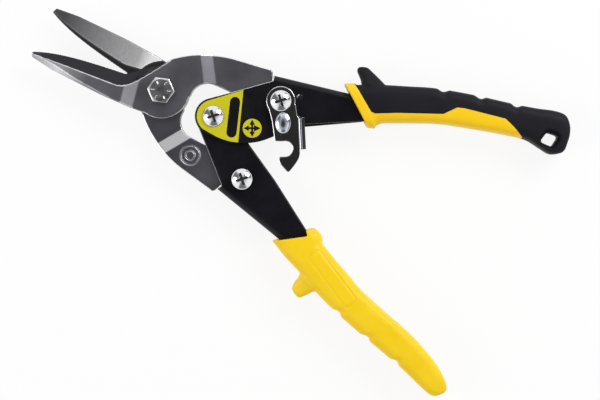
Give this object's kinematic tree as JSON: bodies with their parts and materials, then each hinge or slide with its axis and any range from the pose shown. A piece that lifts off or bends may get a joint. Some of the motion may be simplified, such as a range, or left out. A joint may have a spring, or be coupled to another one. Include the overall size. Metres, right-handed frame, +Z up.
{
  "type": "aviation snips",
  "caption": "Compound-action hand shears for sheet metal, with straight jaws, linked pressed handles, a hook latch and moulded grips, lying flat with the jaws open.",
  "frame": {"origin": "middle of the footprint, on the surface that the tool lies on", "axes": "+X along the tool from the jaws to the handles, +Y towards the upper handle, +Z up along the pivot bolt"},
  "size_m": [0.2426, 0.1448, 0.0209],
  "materials": {
    "blade_steel": "forged and blackened, ground at the edge",
    "bolt_steel": "satin",
    "plated_steel": "polished plating",
    "spring_steel": "drawn wire",
    "handle_paint": "gloss black",
    "yellow_plastic": "moulded satin",
    "black_rubber": "soft matt",
    "lock_ring_nylon": "moulded"
  },
  "bodies": {
    "near_blade": {"near_blade": "blade_steel", "pivot_bolt": "bolt_steel", "pivot_nut": "bolt_steel", "nut_lock_ring": "lock_ring_nylon"},
    "far_blade": {"far_blade": "blade_steel"},
    "upper_handle": {"upper_handle": "handle_paint", "handle_pivot_screw": "plated_steel", "handle_pivot_barrel": "plated_steel", "upper_link_screw": "plated_steel", "upper_link_barrel": "plated_steel", "latch_washer": "plated_steel", "spring_sleeve": "plated_steel", "return_spring": "spring_steel", "upper_grip_core": "yellow_plastic", "upper_grip_cover": "black_rubber"},
    "lower_handle": {"lower_handle": "handle_paint", "lower_link_screw": "plated_steel", "lower_link_barrel": "plated_steel", "latch_catch": "plated_steel", "lower_grip": "yellow_plastic"},
    "latch": {"latch": "plated_steel"}
  },
  "joints": [
    {"name": "jaw_pivot", "type": "hinge", "parent": "near_blade", "child": "far_blade", "pos_m": [-0.0591, -0.00115, 0.0095], "axis": [0, 0, 1], "range_deg": [0, 19.5], "stiffness_Nm_per_rad": 2.2, "springref_deg": -20.63, "deforming": ["return_spring"]},
    {"name": "upper_link", "type": "hinge", "parent": "near_blade", "child": "upper_handle", "pos_m": [-0.0073, 0.01905, 0.0095], "axis": [0, 0, 1], "range_deg": [-9.2, 0]},
    {"name": "lower_link", "type": "hinge", "parent": "far_blade", "child": "lower_handle", "pos_m": [-0.0073, -0.02135, 0.0095], "axis": [0, 0, 1], "range_deg": [0, 9.2]},
    {"name": "latch_pivot", "type": "hinge", "parent": "upper_handle", "child": "latch", "pos_m": [-0.0073, 0.01905, 0.0095], "axis": [0, 0, 1], "range_deg": [-12, 25]}
  ],
  "couplings": [
    {"joint": "upper_link", "follows": "jaw_pivot", "ratio": -0.469},
    {"joint": "lower_link", "follows": "jaw_pivot", "ratio": 0.469}
  ]
}
